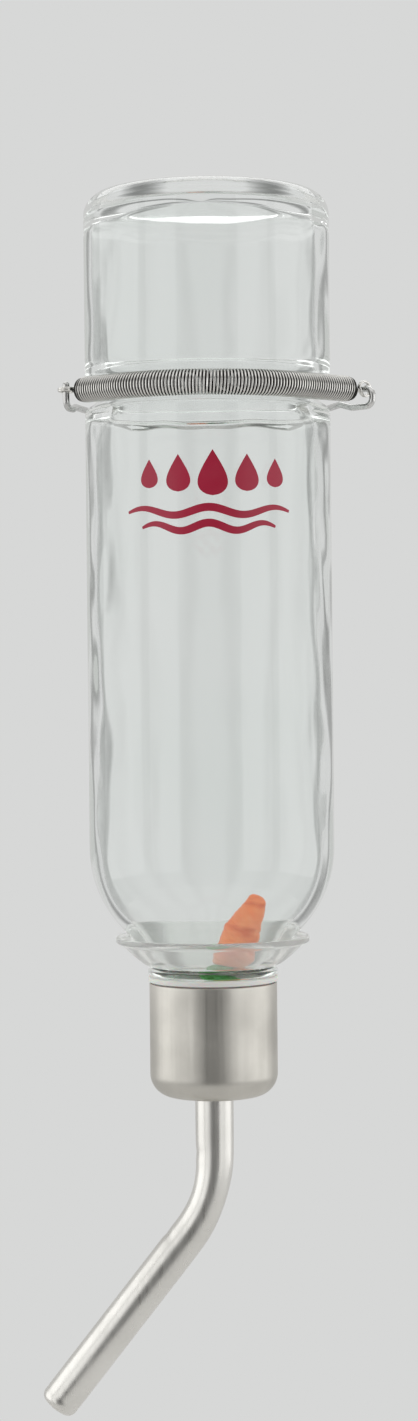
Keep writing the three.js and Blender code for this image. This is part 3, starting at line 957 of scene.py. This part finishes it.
def collar_outline():
    """A ring swaged on the tube's upper end, with a slightly stepped top."""
    hole = TUBE_R + SEAM_GAP / 2
    return [
        (hole, collar_low.z),
        *arc(COLLAR_R - 0.3, collar_low.z + 0.3, 0.3, -90, 0, 3),
        *arc(COLLAR_R - 0.4, collar_low.z + 0.7, 0.4, 0, 75, 4),
        (5.8, collar_high.z - 0.05),
        (5.4, collar_high.z),
        (hole, collar_high.z),
    ]


make_piece(
    "tube_ring", *lathe(collar_outline(), 64), tube_material, "tube", ["tube_collar"], "tube_steel"
)


def build_ball(centre, radius):
    """A valve ball, with the faint flat band that lapping leaves."""
    rings, sides = 27, 48
    verts = [centre + Vector((0, 0, radius))]
    for i in range(1, rings + 1):
        polar = math.pi * i / (rings + 1)
        lapped = radius * (1 - 0.0015 * math.exp(-(((polar - math.pi / 2) / 0.12) ** 2)))
        for k in range(sides):
            a = TAU * k / sides
            verts.append(centre + lapped * Vector((
                math.sin(polar) * math.cos(a), math.sin(polar) * math.sin(a), math.cos(polar)
            )))
    verts.append(centre - Vector((0, 0, radius)))
    return verts, round_faces(rings, sides)


for node in ("tip_ball", "upper_ball"):
    ball_low, ball_high = box_mm(node)
    make_piece(
        node + "_sphere",
        *build_ball((ball_low + ball_high) / 2, (ball_high.y - ball_low.y) / 2),
        ball_material, node, [node], "ball_steel",
    )


# ---- hanger spring

wrap_run = SPRING_RING_R * SPRING_WRAP
LEFT_END = -wrap_run - SPRING_TAIL_LEFT
RIGHT_END = wrap_run + SPRING_TAIL_RIGHT
spring_length = RIGHT_END - LEFT_END


def spring_point(along):
    """Centre line, tangent and outward side of the spring. Zero is the front of the bottle."""
    turn = max(-SPRING_WRAP, min(SPRING_WRAP, along / SPRING_RING_R))
    outward = Vector((math.sin(turn), -math.cos(turn), 0))
    tangent = Vector((math.cos(turn), math.sin(turn), 0))
    point = Vector((0, AXIS_Y, 0)) + outward * SPRING_RING_R
    rest = abs(along) - wrap_run
    if rest > 0:
        point += tangent * (rest if along > 0 else -rest)
    return point, tangent, outward


def coil_radius(from_end):
    """The last turns close down a little towards the eyes."""
    near_end = max(0.0, 1 - from_end / COIL_CLOSING_RUN)
    return SPRING_R - SPRING_WIRE / 2 - COIL_CLOSING * near_end ** 2


def coil_path():
    """The close-wound helix. It starts at the top of the left end and stops on the outer side."""
    turns = round(spring_length / SPRING_PITCH)
    sweep_angle = TAU * turns - math.pi / 2
    count = turns * COIL_STEPS
    points = []
    for i in range(count + 1):
        along = LEFT_END + spring_length * i / count
        point, _, outward = spring_point(along)
        radius = coil_radius(min(along - LEFT_END, RIGHT_END - along))
        a = math.pi / 2 + sweep_angle * i / count
        points.append(point + outward * radius * math.cos(a) + Vector((0, 0, radius * math.sin(a))))
    return points


def eye_centre(side):
    """The middle of the eye on the left (-1) or right (1) end."""
    end, tangent, outward = spring_point(RIGHT_END if side > 0 else LEFT_END)
    return end + tangent * side * (EYE_R + 0.75) + outward * EYE_OUT


def eye_path(side, start):
    """Two turns of wire off the spring's end. The right eye faces front, the left one lies flat."""
    _, tangent, outward = spring_point(RIGHT_END if side > 0 else LEFT_END)
    aim = tangent * side
    up = Vector((0, 0, 1))
    across, lift = (up, outward) if side > 0 else (outward, -up)
    centre = eye_centre(side)
    points = [start, start.lerp(centre - aim * EYE_R - across * 1.1, 0.55) + aim * 0.12]
    steps = 56
    lead_in = 0.35                     # the angle turned before the two full turns
    for i in range(steps + 1):
        t = i / steps
        a = math.pi + lead_in - (TAU * 2 + lead_in) * t
        points.append(
            centre + aim * EYE_R * math.cos(a) + across * EYE_R * math.sin(a)
            + lift * (t - 0.5) * 0.8
        )
    return points


def smooth_path(points, per_step):
    """A Catmull-Rom curve through the points."""
    out = []
    last = len(points) - 1
    for i in range(last):
        p0 = points[max(i - 1, 0)]
        p1, p2 = points[i], points[i + 1]
        p3 = points[min(i + 2, last)]
        for k in range(per_step):
            t = k / per_step
            out.append(0.5 * (
                2 * p1 + (p2 - p0) * t + (2 * p0 - 5 * p1 + 4 * p2 - p3) * t * t
                + (3 * p1 - p0 - 3 * p2 + p3) * t ** 3
            ))
    out.append(points[last])
    return out


def build_spring():
    """The coils, and an eye at each end."""
    parts = ([], [])
    path = coil_path()
    add_to(parts, *sweep(path, lambda i: circle(SPRING_WIRE / 2, COIL_SIDES)))
    for side, start in ((-1, path[0]), (1, path[-1])):
        add_to(parts, *rounded_bar(smooth_path(eye_path(side, start), 3), SPRING_WIRE / 2, 12))
    return parts


def half_mesh(verts, faces, side):
    """The faces on one side of the middle plane, with the points they use."""
    kept = [f for f in faces if (sum(verts[i][0] for i in f) >= 0) == (side > 0)]
    order = {}
    for face in kept:
        for i in face:
            order.setdefault(i, len(order))
    return [verts[i] for i in order], [[order[i] for i in f] for f in kept]


def mark_crevices(piece):
    """Stores how far each point of the coils lies below the spring's outside, in wire widths. The
    spring material paints shade from it.
    """
    layer = piece.data.attributes.new("crevice", "FLOAT", "POINT")
    for vertex, value in zip(piece.data.vertices, layer.data):
        place = vertex.co / MM
        along = SPRING_RING_R * math.atan2(place.x, AXIS_Y - place.y)
        if abs(along) > wrap_run:
            side = 1 if along > 0 else -1
            point, tangent, _ = spring_point(side * wrap_run)
            along = side * (wrap_run + (place - point).dot(tangent * side))
        if not LEFT_END < along < RIGHT_END:
            continue
        from_axis = (place - spring_point(along)[0]).length
        value.value = max(0.0, min(1.0, (SPRING_R - from_axis) / SPRING_WIRE))


spring_mesh = build_spring()
for side, name in ((-1, "spring_coils_left"), (1, "spring_coils_right")):
    spring_piece = make_piece(name, *half_mesh(*spring_mesh, side), spring_material)
    mark_crevices(spring_piece)
    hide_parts("hanger_spring")
    eye_edge = side * eye_centre(side).x - EYE_R - SPRING_WIRE
    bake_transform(spring_piece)


# ---- hanger wire

ARM_Z = -3.0
HOOK_Z = -4.2
KNEE_X = 32.4
KNEE_Y = AXIS_Y - 1.5
CROSSBAR_REACH = 23.0
crossbar_y = CAGE_GAP / 2 + HOOK_WIRE_R


def hanger_points():
    """From the right hook, behind the bottle, to the left one's upturned end."""
    right_eye = eye_centre(1)
    left_eye = eye_centre(-1)
    aim = spring_point(RIGHT_END)[2]

    def through(along, z):
        return Vector((*(right_eye + aim * along).xy, z))

    return [
        through(-2.4, 0.0),
        through(2.6, 0.0),
        through(2.6, HOOK_Z),
        through(-4.4, HOOK_Z),
        Vector((KNEE_X, KNEE_Y, ARM_Z)),
        Vector((CROSSBAR_REACH, crossbar_y, ARM_Z)),
        Vector((-CROSSBAR_REACH, crossbar_y, ARM_Z)),
        Vector((-KNEE_X, KNEE_Y, ARM_Z)),
        Vector((left_eye.x + 1.4, left_eye.y + 4.5, HOOK_Z)),
        Vector((left_eye.x, left_eye.y, HOOK_Z)),
        Vector((left_eye.x, left_eye.y, 2.0)),
    ]


make_piece(
    "hanger_bent_wire", *rounded_bar(filleted(hanger_points(), 2.05, 0.35), HOOK_WIRE_R, 16),
    wire_material, "hanger_wire", ["hanger_wire"], "wire_steel",
)


# ---- carrot float

float_axis = Vector((math.sin(FLOAT_TILT), 0, math.cos(FLOAT_TILT)))
float_side = Vector((math.cos(FLOAT_TILT), 0, -math.sin(FLOAT_TILT)))
float_foot = FLOAT_TIP - float_axis * FLOAT_LENGTH
crown_length = FLOAT_LENGTH - FLOAT_BODY_LENGTH - SEAM_GAP


def float_place(r, angle, along):
    """A point at a radius and angle about the float's axis, at a distance from its foot."""
    return (
        float_foot + float_axis * along
        + float_side * r * math.cos(angle) + Vector((0, 1, 0)) * r * math.sin(angle)
    )


CARROT_STOPS = [                       # share of the root's length, and radius
    (0.0, 3.7), (0.04, 4.6), (0.11, 4.9), (0.25, 4.8), (0.40, 4.5), (0.59, 3.95), (0.73, 3.3),
    (0.84, 2.75), (0.90, 2.35), (1.0, 0.0),
]


def carrot_radius(t):
    """Root radius, from the shoulder at 0 to the tip at 1."""
    for (t0, r0), (t1, r1) in zip(CARROT_STOPS, CARROT_STOPS[1:]):
        if t <= t1:
            f = (t - t0) / (t1 - t0)
            if t1 == 1.0:
                return r0 * math.sqrt(1 - f * f)
            f = f * f * (3 - 2 * f) * 0.5 + f * 0.5
            return r0 + (r1 - r0) * f
    return 0.0


def draw_creases():
    """For each crease: its place along the root, its angle round it, its width and its depth."""
    return [
        (random.random(), random.random() * TAU, 0.3 + random.random() * 0.9, 0.5 + random.random())
        for _ in range(CREASE_COUNT)
    ]


def crease_at(creases, t, angle):
    """How deep the creases are together at one place on the root."""
    total = 0.0
    for place, round_at, width, depth in creases:
        off = math.atan2(math.sin(angle - round_at), math.cos(angle - round_at))
        total += depth * math.exp(-(((t - place) / CREASE_HALF_WIDTH) ** 2) - (off / width) ** 2)
    return CREASE_DEPTH * min(total, 1.4)


def build_carrot():
    """The root, with cross creases, faint ribs and soft lumps."""
    rings, sides = 170, 80
    base = crown_length + SEAM_GAP
    verts = [float_place(0, 0, base + 0.4)]
    creases = draw_creases()
    for i in range(rings):
        t = i / rings
        for k in range(sides):
            a = TAU * k / sides
            wavy = t + 0.010 * math.sin(2 * a + t * 9) + 0.006 * math.sin(5 * a)
            spot = Vector((math.cos(a), math.sin(a), t * 5))
            rib = math.sin(wavy * 92) * 0.05 * (0.5 + noise.noise(spot * 1.9))
            lump = noise.noise(spot * 1.1) * 0.22 + noise.noise(spot * 4.0) * 0.05
            fade = min(1.0, (1 - t) * 6, t * 12)
            r = carrot_radius(t) + (rib - crease_at(creases, wavy, a) + lump - 0.10) * fade
            verts.append(float_place(max(r, 0.05), a, base + t * FLOAT_BODY_LENGTH))
    verts.append(float_place(0, 0, base + FLOAT_BODY_LENGTH - 0.02))
    return verts, round_faces(rings, sides)


def build_leaves():
    """Five moulded leaf stalks that spread from the foot and close under the root."""
    rings, sides = 70, 120
    verts = [float_place(0, 0, 0)]
    for i in range(rings):
        t = i / (rings - 1)
        for k in range(sides):
            a = TAU * k / sides
            body = 2.8 + 1.5 * min(1.0, t * 1.25) - 0.8 * max(0.0, t - 0.85) / 0.15
            lobe = abs(math.cos(2.5 * a)) ** 0.7
            vein = math.sin(a * 25 + math.sin(t * 20)) * 0.07
            r = body * (0.80 + 0.26 * lobe) + vein + 0.10 * math.sin(t * 38 + a)
            verts.append(float_place(min(r, 4.8), a, t * crown_length))
    verts.append(float_place(0, 0, crown_length))
    return verts, round_faces(rings, sides)


make_piece(
    "carrot_root", *build_carrot(), carrot_material, "float", ["float_carrot"], "float_orange"
)
make_piece(
    "carrot_leaves", *build_leaves(), leaf_material, "float", ["float_leaves"], "float_green"
)


# ---- printed mark

def on_glass(x, z):
    """A point of the flat mark, wrapped round the front of the glass."""
    turn = x / GLASS_R
    r = GLASS_R + 0.03
    return Vector((r * math.sin(turn), AXIS_Y - r * math.cos(turn), z))


def band(centre_line, width, parts, steps):
    """A flat painted stroke: the centre line and half width are functions of t."""
    across = 5
    verts, faces = [], []
    for i in range(steps + 1):
        t = i / steps
        x, z = centre_line(t)
        x2, z2 = centre_line(min(t + 0.01, 1.01))
        along = math.hypot(x2 - x, z2 - z) or 1.0
        nx, nz = -(z2 - z) / along, (x2 - x) / along
        for k in range(across):
            o = (k / (across - 1) * 2 - 1) * width(t)
            verts.append(on_glass(x + nx * o, z + nz * o))
    for i in range(steps):
        for k in range(across - 1):
            a = i * across + k
            faces.append([a, a + across, a + across + 1, a + 1])
    add_to(parts, verts, faces)


def drop(x, z, size, parts):
    """A water drop, point up."""
    def line(t):
        return x, z - size + 2 * size * t

    def width(t):
        return size * 0.72 * math.sin(math.pi * min(1.0, t) ** 0.62) ** 0.9 * (1 - 0.25 * t)

    band(line, width, parts, 40)


def wave(z, reach, parts):
    """A wavy line across the front of the glass."""
    def line(t):
        return -reach + 2 * reach * t, z + 0.9 * math.sin(TAU * 2.5 * t)

    def width(t):
        return 0.95 * math.sin(math.pi * (0.02 + 0.96 * t)) ** 0.4

    band(line, width, parts, 160)


DROP_Z = -21.2
DROPS = [(-14.5, 3.4), (-7.2, 4.4), (1.0, 5.4), (9.2, 4.4), (16.5, 3.4)]  # place and size
WAVES = [(-30.2, 20.5), (-33.9, 16.5)]  # height and reach
print_parts = ([], [])
for x, size in DROPS:
    drop(x, DROP_Z, size, print_parts)
for z, reach in WAVES:
    wave(z, reach, print_parts)
make_piece("printed_mark", *print_parts, print_material, "bottle")


# ---- studio

FLOOR_DROP = 120.0                     # below the tube's tip
FLOOR_R = 400.0
FLOOR_RINGS = 6


def paper_material():
    """Pale matt paper with a faint tooth."""
    n = Material("pale_paper")
    n.set(Roughness=0.9)
    n.drive(Base_Color=n.tones(n.noise(260.0, 2.0), (0.795, 0.79, 0.78), (0.81, 0.805, 0.795)))
    return n.material


FLOOR_Z = tube_low.z - FLOOR_DROP
floor_outline = [(FLOOR_R * i / FLOOR_RINGS, FLOOR_Z) for i in range(FLOOR_RINGS + 1)]
floor_piece = make_piece("paper_floor", *lathe(floor_outline, 96, closed=False), paper_material())


def softbox(name, place, aim, size, power):
    """A rectangular lamp, which isn't seen through the clear pieces."""
    light = bpy.data.lights.new(name, "AREA")
    light.shape = "RECTANGLE"
    light.size, light.size_y = size
    light.energy = power
    lamp = bpy.data.objects.new(name, light)
    bpy.context.scene.collection.objects.link(lamp)
    lamp.location = place
    lamp.rotation_euler = (aim - Vector(place)).to_track_quat("-Z", "Y").to_euler()
    lamp.visible_transmission = False


BODY_AIM = Vector((0, AXIS_Y * MM, -0.09))
CLAMP_AIM = Vector((0, AXIS_Y * MM, -0.02))
SIDE_SIZE = (0.75, 0.70)
FILL_SIZE = (0.50, 0.80)
softbox("left_box", (-0.80, -0.02, -0.05), BODY_AIM, SIDE_SIZE, 1.35)
softbox("right_box", (0.80, -0.02, -0.05), BODY_AIM, SIDE_SIZE, 1.30)
softbox("left_fill", (-0.66, -0.74, -0.05), BODY_AIM, FILL_SIZE, 0.9)
softbox("right_fill", (0.66, -0.74, -0.05), BODY_AIM, FILL_SIZE, 0.9)
softbox("top_box", (0.0, -0.34, 0.62), CLAMP_AIM, (0.9, 0.5), 0.6)
softbox("back_box", (0.0, 0.34, 0.52), CLAMP_AIM, (1.0, 0.45), 1.5)

# How light the room is, from the camera's side at 0 to the far side at 1.
ROOM_LEVELS = [(0.0, 0.15), (0.035, 0.16), (0.10, 0.38), (0.25, 0.58), (1.0, 0.62)]
PANELS_ROUND = 8
PANEL_COLOUR = (0.69, 0.695, 0.69)
GAP_COLOUR = (0.20, 0.205, 0.20)
BACKDROP_COLOUR = (0.68, 0.685, 0.68)


def panels(n, direction):
    """Light panels all round the object with darker gaps, which draw the edges of the glass."""
    angle = n.math("ARCTAN2", direction.outputs["Y"], direction.outputs["X"])
    wave = n.math("COSINE", n.math("MULTIPLY", angle, PANELS_ROUND))
    return n.mix(n.remap(wave, -1.0, -0.1), GAP_COLOUR, PANEL_COLOUR)


def studio_world():
    """A pale room, darker on the camera's side, as in a light tent.

    The camera sees an even backdrop, and light that comes through clear pieces sees the panels.
    """
    world = bpy.data.worlds.new("studio")
    n = Tree(world)
    direction = n.add("ShaderNodeSeparateXYZ")
    n.link(n.add("ShaderNodeTexCoord").outputs["Generated"], direction.inputs[0])
    depth = n.remap(direction.outputs["Y"], -1.0, 1.0)
    room = n.ramp(depth, [(at, (lit, lit * 0.995, lit * 0.985)) for at, lit in ROOM_LEVELS])
    path = n.add("ShaderNodeLightPath")
    lit_room = n.mix(path.outputs["Is Transmission Ray"], room, panels(n, direction))
    seen = n.mix(path.outputs["Is Camera Ray"], lit_room, BACKDROP_COLOUR)
    n.link(seen, n.nodes["Background"].inputs["Color"])
    return world


bpy.context.scene.world = studio_world()
bpy.context.scene.view_settings.view_transform = "Standard"

# ---- camera

CAMERA_DISTANCE = 0.703
CAMERA_X = -0.0004
CAMERA_Z = -0.0687
CAMERA_PITCH = math.radians(0.709)
CAMERA_ROLL = math.radians(-0.55)
CAMERA_LENS = 72.7                     # in millimetres, like the sensor's width
CAMERA_SENSOR = 36
camera_data = bpy.data.cameras.new("camera")
camera_data.sensor_width = CAMERA_SENSOR
camera_data.lens = CAMERA_LENS
camera = bpy.data.objects.new("camera", camera_data)
bpy.context.scene.collection.objects.link(camera)
bpy.context.scene.camera = camera
place = Matrix.Translation((CAMERA_X, AXIS_Y * MM - CAMERA_DISTANCE, CAMERA_Z))
turn = Matrix.Rotation(math.pi / 2 - CAMERA_PITCH, 4, "X") @ Matrix.Rotation(CAMERA_ROLL, 4, "Z")
camera.matrix_world = place @ turn
